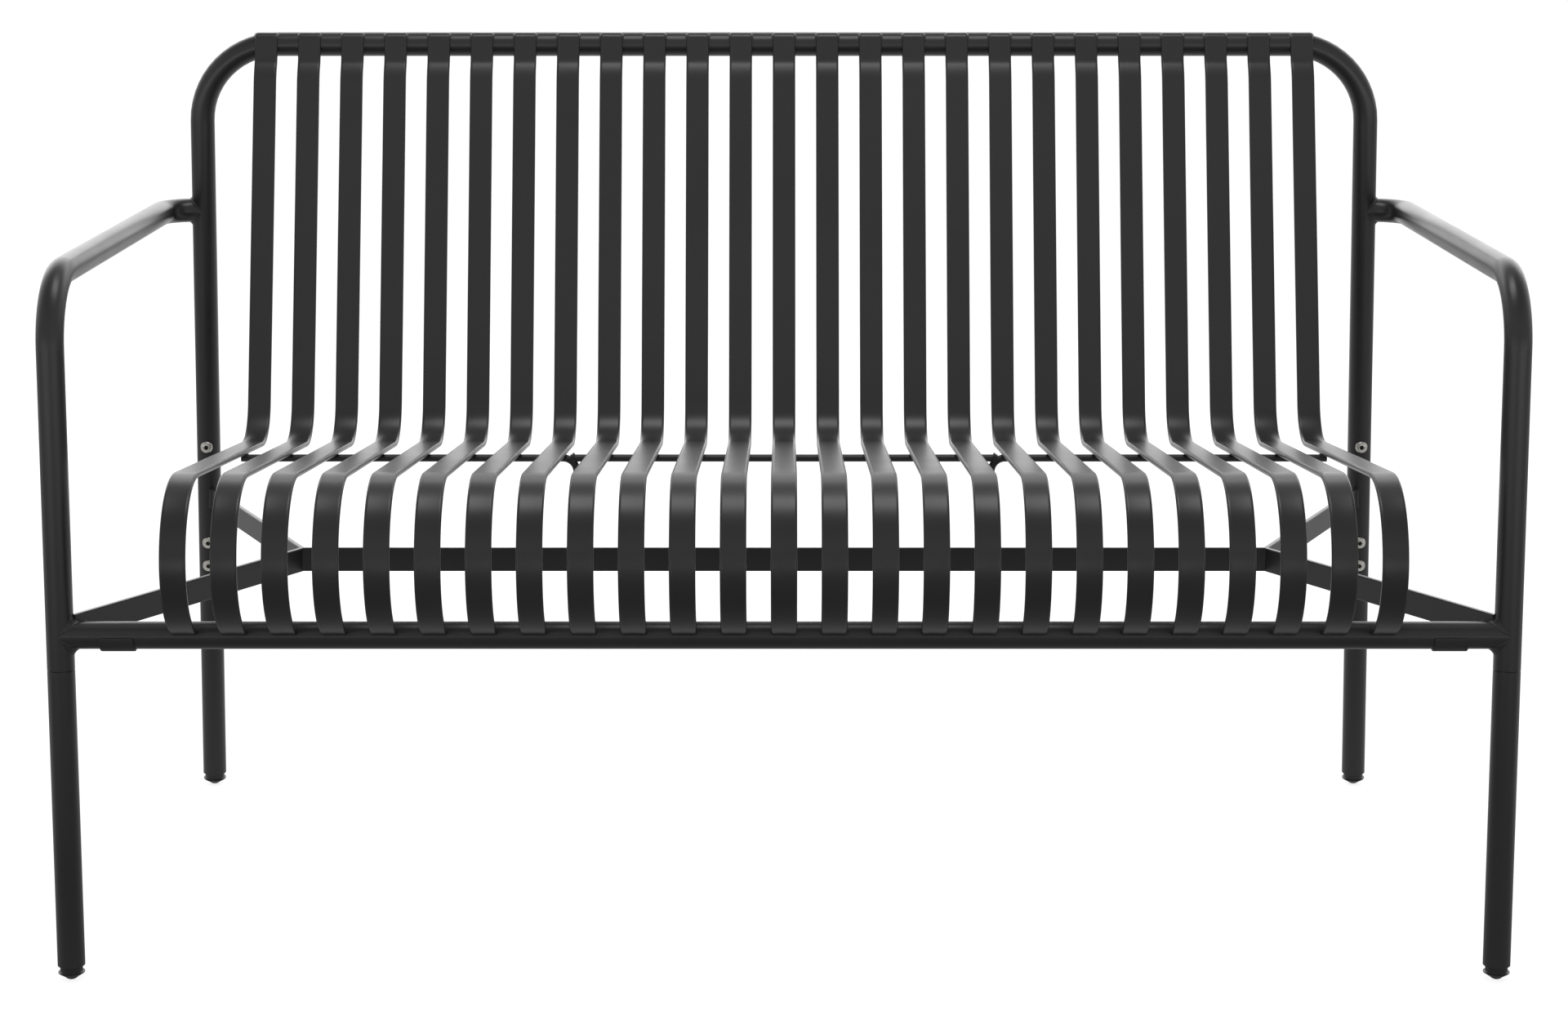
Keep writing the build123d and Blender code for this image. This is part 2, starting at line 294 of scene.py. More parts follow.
def stainless():
    """Turned stainless steel of the screw heads."""
    material, tree, steel = shader("stainless_steel")
    steel.inputs["Metallic"].default_value = 1.0
    grain = pattern(tree, "ShaderNodeTexNoise", 900.0, Detail=4.0)
    colour = ramp(tree, grain.outputs["Fac"], (0.50, 0.48, 0.45, 1.0), (0.62, 0.60, 0.56, 1.0))
    tree.links.new(colour, steel.inputs["Base Color"])
    tree.links.new(ramp(tree, grain.outputs["Fac"], grey(0.22), grey(0.34)), steel.inputs["Roughness"])
    tree.links.new(bump(tree, grain.outputs["Fac"], 0.000006), steel.inputs["Normal"])
    return material


def painted_socket_shade_material():
    """Painted shade inside the screws' sockets: a dark, rough, mottled steel that stands in for the shade of
    the recess.
    """
    material, tree, steel = shader("painted_shade_socket_steel")
    steel.inputs["Metallic"].default_value = 1.0
    shade_mottle = pattern(tree, "ShaderNodeTexNoise", 700.0, Detail=3.0)
    tree.links.new(ramp(tree, shade_mottle.outputs["Fac"], grey(0.025), grey(0.06)), steel.inputs["Base Color"])
    tree.links.new(ramp(tree, shade_mottle.outputs["Fac"], grey(0.45), grey(0.6)), steel.inputs["Roughness"])
    tree.links.new(bump(tree, shade_mottle.outputs["Fac"], 0.00002), steel.inputs["Normal"])
    return material


def zinc():
    """Zinc-plated steel of the inner sleeves and threaded inserts."""
    material, tree, steel = shader("zinc_plated_steel")
    steel.inputs["Metallic"].default_value = 1.0
    crystal = pattern(tree, "ShaderNodeTexVoronoi", 300.0).outputs["Distance"]
    colour = ramp(tree, crystal, (0.42, 0.43, 0.45, 1.0), (0.52, 0.53, 0.54, 1.0), 0.1, 0.8)
    tree.links.new(colour, steel.inputs["Base Color"])
    tree.links.new(ramp(tree, crystal, grey(0.34), grey(0.46), 0.1, 0.8), steel.inputs["Roughness"])
    tree.links.new(bump(tree, crystal, 0.00001), steel.inputs["Normal"])
    return material


def moulded(name, low, high, rough_low, rough_high, depth):
    """A moulded rubber or plastic with a fine matt grain."""
    material, tree, skin = shader(name)
    grain = pattern(tree, "ShaderNodeTexNoise", 1100.0, Detail=3.0).outputs["Fac"]
    tree.links.new(ramp(tree, grain, grey(low), grey(high)), skin.inputs["Base Color"])
    tree.links.new(ramp(tree, grain, grey(rough_low), grey(rough_high)), skin.inputs["Roughness"])
    tree.links.new(bump(tree, grain, depth), skin.inputs["Normal"])
    return material


COAT = satin_coat()
STAINLESS = stainless()
# Dark steel for the socket inserts, painted shade of the recesses
PAINTED_SOCKET_SHADE = painted_socket_shade_material()
ZINC = zinc()
RUBBER = moulded("black_rubber", 0.012, 0.018, 0.50, 0.62, 0.00003)
PLASTIC = moulded("black_glide_plastic", 0.008, 0.012, 0.34, 0.44, 0.00001)

# Each CAD node gets its finish
for name, node in nodes.items():
    if name == "leg_bolts":
        finish, slot_name = STAINLESS, "stainless"
    elif name.endswith("spigot") or name == "threaded_inserts":
        finish, slot_name = ZINC, "zinc_steel"
    elif name.endswith("stacking_pad"):
        finish, slot_name = RUBBER, "rubber"
    elif name.endswith("foot"):
        finish, slot_name = PLASTIC, "glide_plastic"
    else:
        finish, slot_name = COAT, "powder_coat"
    node.data.materials.clear()
    node.data.materials.append(finish)


# Shapes that the pieces are made of
def edges_of(geometry):
    """The edges among what an operator gives."""
    return [item for item in geometry if isinstance(item, bmesh.types.BMEdge)]


def verts_of(geometry):
    """The points among what an operator gives."""
    return [item for item in geometry if isinstance(item, bmesh.types.BMVert)]


def turned(bm, ring, centre, axis, angle, steps):
    """Sweeps a ring of edges round an axis and gives the ring at the end."""
    ends = {vert for edge in ring for vert in edge.verts}
    swept = bmesh.ops.spin(
        bm, geom=list(ends) + ring, cent=centre, axis=axis, angle=angle, steps=steps, use_merge=False
    )
    return edges_of(swept["geom_last"])


def carried(bm, ring, matrix):
    """Extrudes a ring of edges, moves the new ring by a matrix and gives it."""
    grown = bmesh.ops.extrude_edge_only(bm, edges=ring)["geom"]
    ends = verts_of(grown)
    bmesh.ops.transform(bm, matrix=matrix, verts=ends)
    ends = set(ends)
    return [edge for edge in edges_of(grown) if edge.verts[0] in ends and edge.verts[1] in ends]


def slid(bm, ring, direction, *lengths):
    """Extrudes a ring of edges straight on, once for each length."""
    for length in lengths:
        ring = carried(bm, ring, Matrix.Translation(direction * length))
    return ring


def closed(bm, ring):
    """Fills the open end of a sweep."""
    bmesh.ops.edgeloop_fill(bm, edges=ring)


def smooth_step(value):
    """A value held between 0 and 1, with a soft start and end."""
    value = min(max(value, 0.0), 1.0)
    return value * value * (3 - 2 * value)


# Slats
def face_normal(tilt):
    """The normal of a visible face that leans back by a tilt."""
    return Vector((0, -cos(tilt), sin(tilt)))


SIDEWAYS = Vector((1, 0, 0))
SEAT_ALONG = Vector((0, cos(SEAT_SLOPE), -sin(SEAT_SLOPE)))
SEAT_NORMAL = Vector((0, sin(SEAT_SLOPE), cos(SEAT_SLOPE)))
BACK_ALONG = Vector((0, sin(BACK_RECLINE), cos(BACK_RECLINE)))
BACK_NORMAL = face_normal(BACK_RECLINE)
NOSE = Vector((0, FRONT_Y + NOSE_RADIUS, SEAT_HEIGHT - NOSE_RADIUS))
NOSE_TOP = NOSE + SEAT_NORMAL * NOSE_RADIUS
CREASE_POINT = NOSE_TOP + SEAT_ALONG * ((FRONT_Y + SEAT_DEPTH - NOSE_TOP.y) / cos(SEAT_SLOPE))
CREASE_TURN = pi / 2 - BACK_RECLINE + SEAT_SLOPE
CREASE_RUN = CREASE_RADIUS * tan(CREASE_TURN / 2)
CREASE = CREASE_POINT - SEAT_ALONG * CREASE_RUN + SEAT_NORMAL * CREASE_RADIUS
BACK_END = CREASE_POINT + BACK_ALONG * ((BACK_END_Z - CREASE_POINT.z) / cos(BACK_RECLINE))
BACK_RUN = (BACK_END - CREASE_POINT).length - CREASE_RUN
TOP_CURVE = BACK_END - BACK_NORMAL * TOP_CURVE_RADIUS
JOGGLE = TOP_CURVE + face_normal(TOP_CURVE_TILT) * (TOP_CURVE_RADIUS + JOGGLE_RADIUS)
LAP_NORMAL = face_normal(LAP_TILT)
LAP_ALONG = Vector((0, sin(LAP_TILT), cos(LAP_TILT)))
LAP_START = JOGGLE - LAP_NORMAL * JOGGLE_RADIUS
RAIL = Vector((0, RAIL_Y, RAIL_Z))
CROSSBAR = Vector((0, LEG_Y, CROSSBAR_Z))
LAP_RISE = RAIL_Z + TUBE_RADIUS - SHOULDER_RADIUS * (1 - sin(LAP_TILT)) - LAP_START.z
LAP_RUN = LAP_RISE / cos(LAP_TILT)
SHOULDER = LAP_START + LAP_ALONG * LAP_RUN - LAP_NORMAL * SHOULDER_RADIUS
NOSE_START = pi / 2 - SEAT_SLOPE
TIP_ANGLE = atan2(CROSSBAR.z - NOSE.z, CROSSBAR.y - NOSE.y) + 2 * pi
TIP_SHOWN = TIP_ANGLE - TUBE_RADIUS / NOSE_RADIUS
TIP_END = TIP_ANGLE - (TUBE_RADIUS - TIP_SUNK) / NOSE_RADIUS


def bar_section(bm):
    """The rounded section of a flat bar lying across X, its visible face at Z 0, as a ring of edges."""
    size = Matrix.Diagonal((BAR_WIDTH, 1.0, BAR_THICKNESS, 1.0))
    upright = Matrix.Translation((0, 0, -BAR_THICKNESS / 2)) @ size @ Matrix.Rotation(pi / 2, 4, "X")
    bmesh.ops.create_grid(bm, x_segments=1, y_segments=1, size=0.5, matrix=upright)
    bmesh.ops.bevel(
        bm, geom=bm.verts[:], offset=BAR_EDGE, segments=5, profile=0.5, affect="VERTICES", material=-1
    )
    bmesh.ops.delete(bm, geom=bm.faces[:], context="FACES_ONLY")
    for x in BAR_CUTS:
        geometry = bm.verts[:] + bm.edges[:]
        bmesh.ops.bisect_plane(bm, geom=geometry, dist=CUT_DISTANCE, plane_co=(x, 0, 0), plane_no=(1, 0, 0))
    return bm.edges[:]


def sag_across(bm, centre, start, end, inner, outer):
    """Draws a bend's middle in towards its centre, as a flat bar does when it is bent over a former."""
    for vert in bm.verts:
        arm = Vector((0, vert.co.y, vert.co.z)) - centre
        angle = atan2(arm.z, arm.y) % (2 * pi)
        if start < angle < end and inner < arm.length < outer:
            fade_in = smooth_step(min(angle - start, end - angle) * arm.length / SAG_FADE)
            across = vert.co.x / (BAR_WIDTH / 2)
            vert.co += arm.normalized() * (SIDE_SAG * (across * across - 1) * fade_in)


def round_tip(bm):
    """Rounds the corners of the bar's front end where it meets the crossbar."""
    for vert in bm.verts:
        arm = Vector((0, vert.co.y, vert.co.z)) - NOSE
        left = (TIP_SHOWN - atan2(arm.z, arm.y) % (2 * pi)) * NOSE_RADIUS
        if vert.co.z < NOSE.z and left < TIP_CORNER:
            depth = TIP_CORNER - max(left, 0.0)
            half = BAR_WIDTH / 2 - TIP_CORNER + (TIP_CORNER**2 - depth**2) ** 0.5
            vert.co.x *= half / (BAR_WIDTH / 2)


def slat_bar():
    """One slat: from its tip in the crossbar over the nose, seat, crease and back on to the top rail."""
    bm = bmesh.new()
    ring = bar_section(bm)
    place = Matrix.Translation(NOSE_TOP) @ Matrix.Rotation(-SEAT_SLOPE, 4, "X")
    bmesh.ops.transform(bm, matrix=place, verts=bm.verts)
    corner_start = TIP_SHOWN - TIP_FINE_SHARE * TIP_CORNER / NOSE_RADIUS
    tip = turned(bm, ring, NOSE, SIDEWAYS, corner_start - NOSE_START, NOSE_STEPS)
    tip = turned(bm, tip, NOSE, SIDEWAYS, TIP_END - corner_start, BEND_STEPS)
    closed(bm, tip)
    seat_run = (CREASE_POINT - NOSE_TOP).length - CREASE_RUN
    end = slid(bm, ring, SEAT_ALONG, HOLD, seat_run - 2 * HOLD, HOLD)
    end = turned(bm, end, CREASE, SIDEWAYS, CREASE_TURN, CREASE_STEPS)
    end = slid(bm, end, BACK_ALONG, HOLD, BACK_RUN - 2 * HOLD, HOLD)
    end = turned(bm, end, TOP_CURVE, SIDEWAYS, BACK_RECLINE - TOP_CURVE_TILT, BEND_STEPS)
    end = turned(bm, end, JOGGLE, SIDEWAYS, TOP_CURVE_TILT - LAP_TILT, BEND_STEPS)
    end = slid(bm, end, LAP_ALONG, HOLD, LAP_RUN - 2 * HOLD, HOLD)
    end = turned(bm, end, SHOULDER, SIDEWAYS, LAP_TILT - pi / 2, BEND_STEPS)
    end = slid(bm, end, Vector((0, 1, 0)), SHOULDER_RUN, RAIL.y - SHOULDER.y - SHOULDER_RUN - END_GAP)
    closed(bm, end)
    for vert in bm.verts:
        arm = Vector((0, vert.co.y, vert.co.z)) - RAIL
        if arm.length < TUBE_RADIUS - RAIL_SUNK:
            vert.co += arm.normalized() * (TUBE_RADIUS - RAIL_SUNK - arm.length)
    inner, outer = NOSE_RADIUS - BAR_THICKNESS - SAG_MARGIN, NOSE_RADIUS + SAG_MARGIN
    sag_across(bm, NOSE, NOSE_START, TIP_ANGLE, inner, outer)
    inner, outer = CREASE_RADIUS - SAG_MARGIN, CREASE_RADIUS + BAR_THICKNESS + SAG_MARGIN
    sag_across(bm, CREASE, 1.5 * pi - SEAT_SLOPE, 2 * pi - BACK_RECLINE, inner, outer)
    round_tip(bm)
    return finished(bm, "slat_bar")


def first_slat_x():
    """The X of the leftmost slat's middle."""
    return -SLAT_PITCH * (SLAT_COUNT - 1) / 2


slat_mesh = slat_bar()
for index in range(SLAT_COUNT):
    mesh_data = slat_mesh.copy()
    mesh_data.transform(Matrix.Translation(((first_slat_x() + index * SLAT_PITCH) * MM, 0, 0)))
    slat = new_piece(f"slat_bar_{index + 1:02d}", mesh_data, COAT)
    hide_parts(f"slat_{index + 1:02d}")
bpy.data.meshes.remove(slat_mesh)


# Welds
def ring_of(bm, points):
    """A closed ring of edges through some points."""
    ring = bmesh.ops.create_circle(bm, cap_ends=False, segments=len(points), radius=1.0)["verts"]
    for vert, point in zip(ring, points):
        vert.co = point
    return list(dict.fromkeys(edge for vert in ring for edge in vert.link_edges))


def skinned(bm, rings):
    """A closed skin over rings of points."""
    loops = [ring_of(bm, points) for points in rings]
    for lower, upper in zip(loops, loops[1:]):
        bmesh.ops.bridge_loops(bm, edges=lower + upper)
    closed(bm, loops[0])
    closed(bm, loops[-1])


def weld(bm, stations, fade_count=WELD_FADE):
    """A fillet weld along stations: the middle of a ball that rolls along the joint, and where it touches."""
    rings = []
    last = len(stations) - 1
    for index, (ball, first, second) in enumerate(stations):
        radius = (first - ball).length
        middle = (first + second) / 2
        depth = (middle - ball).length
        inward = (middle - ball) / max(depth, TINY)
        corner = ball + inward * min(radius * radius / max(depth, TINY), WELD_CORNER_LIMIT * radius)
        strength = smooth_step((min(index, last - index) + 1) / fade_count)
        fullness = WELD_SWELL + WELD_RIPPLE * cos(index * WELD_RIPPLE_TURN)
        ring = []
        for step in range(WELD_POINTS):
            share = step / (WELD_POINTS - 1)
            arm = (first - ball).lerp(second - ball, share).normalized()
            crown = sin(share * pi)
            point = ball + arm * radius * (1 - fullness * crown)
            ring.append(point.lerp(corner, (1 - strength) * WELD_END_LOSS * crown))
        buried = (second - ball).normalized() * WELD_BURY
        ring.append(second + buried)
        ring.append(corner + inward * WELD_BURY)
        ring.append(first + (first - ball).normalized() * WELD_BURY)
        rings.append(ring)
    skinned(bm, rings)


def stations_between_tubes(crossing, first_way, second_way, fillet):
    """Stations of a weld between two tubes whose axes cross, on the side between two ways along them."""
    across = first_way.cross(second_way).normalized()
    between = (first_way + second_way).normalized()
    reach = TUBE_RADIUS + fillet
    stations = []
    for step in range(-TUBE_WELD_STEPS, TUBE_WELD_STEPS + 1):
        turn = TUBE_WELD_TURN * step / TUBE_WELD_STEPS
        ball = crossing + between * (reach * cos(turn) / sin(first_way.angle(second_way) / 2))
        ball += across * (reach * sin(turn))
        touching = []
        for way in (first_way, second_way):
            foot = crossing + way * (ball - crossing).dot(way)
            touching.append(foot + (ball - foot) * (TUBE_RADIUS / reach))
        stations.append((ball, *touching))
    return stations


def circles_meet(first, first_radius, second, second_radius):
    """Where two circles in the side view cross, on the right of the way from first to second."""
    way = second - first
    gap = way.length
    along = (first_radius**2 - second_radius**2 + gap**2) / (2 * gap)
    aside = (first_radius**2 - along**2) ** 0.5
    way.normalize()
    return first + way * along + Vector((way.y, -way.x)) * aside


def stations_along_x(ball, first, second, start, end):
    """Stations of a straight weld along X from its section as (y, z) points."""
    count = max(int(abs(end - start) / WELD_STEP), 6)
    return [
        tuple(Vector((start + (end - start) * step / count, *point)) for point in (ball, first, second))
        for step in range(count + 1)
    ]


def flat(point):
    """The (y, z) place of a point in the side view."""
    return Vector((point.y, point.z))


def tip_weld_stations():
    """The weld across a slat's hidden face on the crossbar."""
    inner = NOSE_RADIUS - BAR_THICKNESS
    ball = circles_meet(flat(NOSE), inner - TIP_FILLET, flat(CROSSBAR), TUBE_RADIUS + TIP_FILLET)
    on_slat = flat(NOSE) + (ball - flat(NOSE)).normalized() * inner
    on_bar = flat(CROSSBAR) + (ball - flat(CROSSBAR)).normalized() * TUBE_RADIUS
    return stations_along_x(ball, on_slat, on_bar, -SLAT_WELD_REACH, SLAT_WELD_REACH)


def rail_weld_stations():
    """The weld across a slat's hidden face under the top rail."""
    depth = BAR_THICKNESS + RAIL_FILLET - (LAP_START - RAIL).dot(LAP_NORMAL)
    drop = ((TUBE_RADIUS + RAIL_FILLET) ** 2 - depth**2) ** 0.5
    ball = flat(RAIL - LAP_NORMAL * depth - LAP_ALONG * drop)
    on_slat = ball + flat(LAP_NORMAL) * RAIL_FILLET
    on_bar = flat(RAIL) + (ball - flat(RAIL)).normalized() * TUBE_RADIUS
    return stations_along_x(ball, on_slat, on_bar, -SLAT_WELD_REACH, SLAT_WELD_REACH)


def rail_side_stations(side):
    """The weld along one side of a slat's end on the top rail."""
    stations = []
    for step in range(RAIL_SIDE_STEPS + 1):
        angle = radians(RAIL_SIDE_START - RAIL_SIDE_TURN * step / RAIL_SIDE_STEPS)
        spoke = Vector((0, cos(angle), sin(angle)))
        ball = RAIL + spoke * (TUBE_RADIUS + RAIL_SIDE_FILLET)
        ball.x = side * (BAR_WIDTH / 2 + RAIL_SIDE_FILLET)
        on_slat = Vector((side * BAR_WIDTH / 2, ball.y, ball.z))
        on_rail = RAIL + spoke * TUBE_RADIUS
        on_rail.x = ball.x
        stations.append((ball, on_slat, on_rail))
    return stations


def repeated(bm, first_x, pitch, count):
    """Copies all of a bmesh along X, so that the first copy stands at first_x."""
    original = bm.verts[:] + bm.edges[:] + bm.faces[:]
    for index in range(1, count):
        copy = bmesh.ops.duplicate(bm, geom=original)["geom"]
        bmesh.ops.translate(bm, vec=(index * pitch, 0, 0), verts=verts_of(copy))
    bmesh.ops.translate(bm, vec=(first_x, 0, 0), verts=bm.verts)


def slat_welds():
    """The welds of every slat: across its tip on the crossbar, and under and beside its end on the rail."""
    bm = bmesh.new()
    weld(bm, tip_weld_stations())
    repeated(bm, first_slat_x(), SLAT_PITCH, SLAT_COUNT)
    new_piece("slat_tip_welds", finished(bm, "slat_tip_welds"), COAT)
    bm = bmesh.new()
    weld(bm, rail_weld_stations())
    for side in (-1, 1):
        weld(bm, rail_side_stations(side), RAIL_SIDE_FADE)
    repeated(bm, first_slat_x(), SLAT_PITCH, SLAT_COUNT)
    new_piece("slat_rail_welds", finished(bm, "slat_rail_welds"), COAT)


def both_sides(bm):
    """Adds the left-hand copy of everything in a right-hand bmesh."""
    copy = bmesh.ops.duplicate(bm, geom=bm.verts[:] + bm.edges[:] + bm.faces[:])["geom"]
    bmesh.ops.scale(bm, vec=(-1, 1, 1), verts=verts_of(copy))


HOOP_CORNER = Vector((REAR_CORNER_X, RAIL.y, RAIL_Z))
REAR_WAY = (HOOP_CORNER - REAR_FOOT).normalized()


def rear_point(height):
    """The point of the right upright's axis at a height above the floor."""
    return REAR_FOOT + REAR_WAY * ((height - REAR_FOOT.z) / REAR_WAY.z)


def frame_welds():
    """The welds of crossbar to front legs and of arms to uprights."""
    bm = bmesh.new()
    corner = Vector((LEG_X, LEG_Y, CROSSBAR_Z))
    for up in (-1, 1):
        on_leg = stations_between_tubes(corner, Vector((-1, 0, 0)), Vector((0, 0, up)), CROSSBAR_FILLET)
        weld(bm, on_leg, TUBE_WELD_FADE)
        on_upright = stations_between_tubes(rear_point(ARM_Z), SIDEWAYS, REAR_WAY * up, ARM_FILLET)
        weld(bm, on_upright, TUBE_WELD_FADE)
    both_sides(bm)
    new_piece("frame_tube_welds", finished(bm, "frame_tube_welds"), COAT)


def faces_meet(first, first_normal, second, second_normal, fillet):
    """Where a ball lies that touches two upright faces, as a point in the top view."""
    det = first_normal.x * second_normal.y - first_normal.y * second_normal.x
    a = first.dot(first_normal) + fillet
    b = second.dot(second_normal) + fillet
    x = (a * second_normal.y - b * first_normal.y) / det
    y = (b * first_normal.x - a * second_normal.x) / det
    return Vector((x, y))


def upright_weld(bm, low, high, section):
    """A weld up a joint: section gives ball and touching points, in the top view, at a height."""
    count = int((high - low) / WELD_STEP)
    stations = []
    for step in range(count + 1):
        height = low + (high - low) * step / count
        stations.append(tuple(Vector((*point, height)) for point in section(height)))
    weld(bm, stations)


def brace_welds():
    """The welds of the brace under the seat: bars to each other, to the front legs and to the uprights."""
    bm = bmesh.new()
    low, high = BRACE_TOP - BAR_WIDTH + BRACE_WELD_INSET, BRACE_TOP - BRACE_WELD_INSET
    joint = Vector((BRACE_HALF_LENGTH - BAR_THICKNESS / 2, BRACE_Y))
    front_way = (Vector((LEG_X - TUBE_RADIUS, LEG_Y)) - joint).normalized()
    rear_end = rear_point(BRACE_TOP - BAR_WIDTH / 2)
    rear_way = (Vector((rear_end.x, rear_end.y)) - joint).normalized()
    front_out = Vector((-front_way.y, front_way.x))
    rear_out = Vector((rear_way.y, -rear_way.x))
    half = BAR_THICKNESS / 2
    faces = {
        "front": (joint - front_out * half, -front_out),
        "front_out": (joint + front_out * half, front_out),
        "rear": (joint - rear_out * half, -rear_out),
        "rear_out": (joint + rear_out * half, rear_out),
        "middle_front": (Vector((0, BRACE_Y - half)), Vector((0, -1))),
        "middle_rear": (Vector((0, BRACE_Y + half)), Vector((0, 1))),
    }
    for one, other in (("middle_front", "front"), ("middle_rear", "rear"), ("front_out", "rear_out")):
        ball = faces_meet(*faces[one], *faces[other], BRACE_FILLET)
        touching = (ball, ball - faces[one][1] * BRACE_FILLET, ball - faces[other][1] * BRACE_FILLET)
        upright_weld(bm, low, high, lambda height, touching=touching: touching)

    def on_tube(face, centre_at, towards):
        """The section of a weld between a bar's face and a tube, on the side that the bar comes from."""
        point, normal = face

        def section(height):
            """Ball and touching points at a height."""
            centre = centre_at(height)
            offset = BRACE_FILLET + (point - centre).dot(normal)
            run = ((TUBE_RADIUS + BRACE_FILLET) ** 2 - offset**2) ** 0.5
            ball = centre + normal * offset - towards * run
            return ball, ball - normal * BRACE_FILLET, centre + (ball - centre).normalized() * TUBE_RADIUS

        return section

    def leg_centre(height):
        """The front leg's axis in the top view, the same at every height."""
        return Vector((LEG_X, LEG_Y))

    def upright_centre(height):
        """The leaning upright's axis in the top view, at a height."""
        place = rear_point(height)
        return Vector((place.x, place.y))

    upright_weld(bm, low, high, on_tube(faces["front_out"], leg_centre, front_way))
    for side in ("rear", "rear_out"):
        upright_weld(bm, low, high, on_tube(faces[side], upright_centre, rear_way))
    point, normal = faces["front"]
    stations = []
    for step in range(BRACE_END_STEPS + 1):
        angle = radians(BRACE_END_START + BRACE_END_TURN * step / BRACE_END_STEPS)
        spoke = Vector((0, cos(angle), sin(angle)))
        ball = CROSSBAR + spoke * (TUBE_RADIUS + BRACE_FILLET)
        ball.x = (point.dot(normal) + BRACE_FILLET - normal.y * ball.y) / normal.x
        on_bar = CROSSBAR + spoke * TUBE_RADIUS
        on_bar.x = ball.x
        stations.append((ball, ball - Vector((*normal, 0)) * BRACE_FILLET, on_bar))
    weld(bm, stations)
    both_sides(bm)
    new_piece("brace_welds", finished(bm, "brace_welds"), COAT)


def rod_welds():
    """The small welds of the seat rods: under each slat, at the posts' tops and on the crossmember."""
    bm = bmesh.new()
    radius = ROD_DIAMETER / 2
    rod = Vector((0, ROD_Y, ROD_Z))
    touch = rod + SEAT_NORMAL * radius
    for index in range(SLAT_COUNT):
        middle = first_slat_x() + index * SLAT_PITCH
        if index in (0, SLAT_COUNT - 1):
            middle *= 1 - END_WELD_INSET / abs(middle)
        for way in (-1, 1):
            ball = touch - SEAT_NORMAL * ROD_FILLET + SEAT_ALONG * (way * (4 * radius * ROD_FILLET) ** 0.5)
            on_rod = rod + (ball - rod).normalized() * radius
            section = (flat(ball), flat(ball + SEAT_NORMAL * ROD_FILLET), flat(on_rod))
            weld(bm, stations_along_x(*section, middle - ROD_WELD_REACH, middle + ROD_WELD_REACH))
    for side in (-1, 1):
        for centre, axis in (
            (Vector((side * (ROD_POST_X + POST_TOP_SHIFT), ROD_Y, ROD_Z)), Vector((1, 0, 0))),
            (Vector((side * ROD_POST_X, ROD_Y, BRACE_TOP + POST_FOOT_LIFT)), Vector((0, 0, 1))),
        ):
            out = Vector((0, 1, 0))
            place = Matrix((out, axis, out.cross(axis))).transposed().to_4x4()
            place.translation = centre + out * (radius + POST_BEAD_LIFT)
            bead = bmesh.ops.create_circle(
                bm, cap_ends=False, segments=POST_BEAD_SIDES, radius=POST_BEAD_RADIUS, matrix=place
            )["verts"]
            bead += list(dict.fromkeys(edge for vert in bead for edge in vert.link_edges))
            bmesh.ops.spin(
                bm, geom=bead, cent=centre, axis=axis, angle=2 * pi, steps=POST_BEAD_STEPS, use_merge=True
            )
    new_piece("seat_rod_welds", finished(bm, "seat_rod_welds"), COAT)


slat_welds()
frame_welds()
brace_welds()
rod_welds()


# Screws, pads and glides
def lathed(bm, profile, segments):
    """A turned solid from (radius, height) steps along Z, closed at both ends, and its points."""
    radius, height = profile[0]
    start = Matrix.Translation((0, 0, height))
    rim = bmesh.ops.create_circle(bm, cap_ends=False, segments=segments, radius=radius, matrix=start)["verts"]
    ring = list(dict.fromkeys(edge for vert in rim for edge in vert.link_edges))
    verts = list(rim)
    closed(bm, ring)
    for wider, higher in profile[1:]:
        grow = Matrix.Diagonal((wider / radius, wider / radius, 1, 1))
        ring = carried(bm, ring, Matrix.Translation((0, 0, higher - height)) @ grow)
        verts += dict.fromkeys(vert for edge in ring for vert in edge.verts)
        radius, height = wider, higher
    closed(bm, ring)
    return verts


def button_screw(bm, place):
    """A button-head screw with a hexagonal socket, its head seated on the round tube."""
    crown = [
        (HEAD_RADIUS * cos(radians(angle)), RIM_HEIGHT + CROWN_HEIGHT * sin(radians(angle)))
        for angle in CROWN_ANGLES
    ]
    verts = lathed(bm, [*SHANK_OUTLINE, *RIM_OUTLINE, *crown, *SOCKET_OUTLINE], SCREW_SEGMENTS)
    for vert in verts:
        radius = vert.co.xy.length
        if radius < SOCKET_REACH and vert.co.z > SOCKET_FLOOR:
            angle = atan2(vert.co.y, vert.co.x) % (pi / 3) - pi / 6
            vert.co.xy *= SOCKET_HALF_WIDTH / cos(angle) / SOCKET_RADIUS
        if radius > HEAD_RADIUS / 2 and vert.co.z < RIM_HEIGHT / 2:
            vert.co.z -= TUBE_RADIUS - (TUBE_RADIUS**2 - vert.co.x**2) ** 0.5
    bmesh.ops.transform(bm, matrix=place, verts=verts)


def seat_on_tube(point, along, facing):
    """A place on a tube's surface whose Z points out of it, along facing, and whose Y runs along the tube."""
    out = (facing - along * facing.dot(along)).normalized()
    place = Matrix((along.cross(out), along, out)).transposed().to_4x4()
    place.translation = point + out * TUBE_RADIUS
    return place


def socket_shade_insert(bm, place):
    """The dark hexagonal inside of a screw's socket, painted shade of its recess."""
    verts = lathed(bm, SHADE_INSERT_OUTLINE, SCREW_SEGMENTS)
    for vert in verts:
        angle = atan2(vert.co.y, vert.co.x) % (pi / 3) - pi / 6
        vert.co.xy *= SHADE_INSERT_SHARE / cos(angle)
    bmesh.ops.transform(bm, matrix=place, verts=verts)


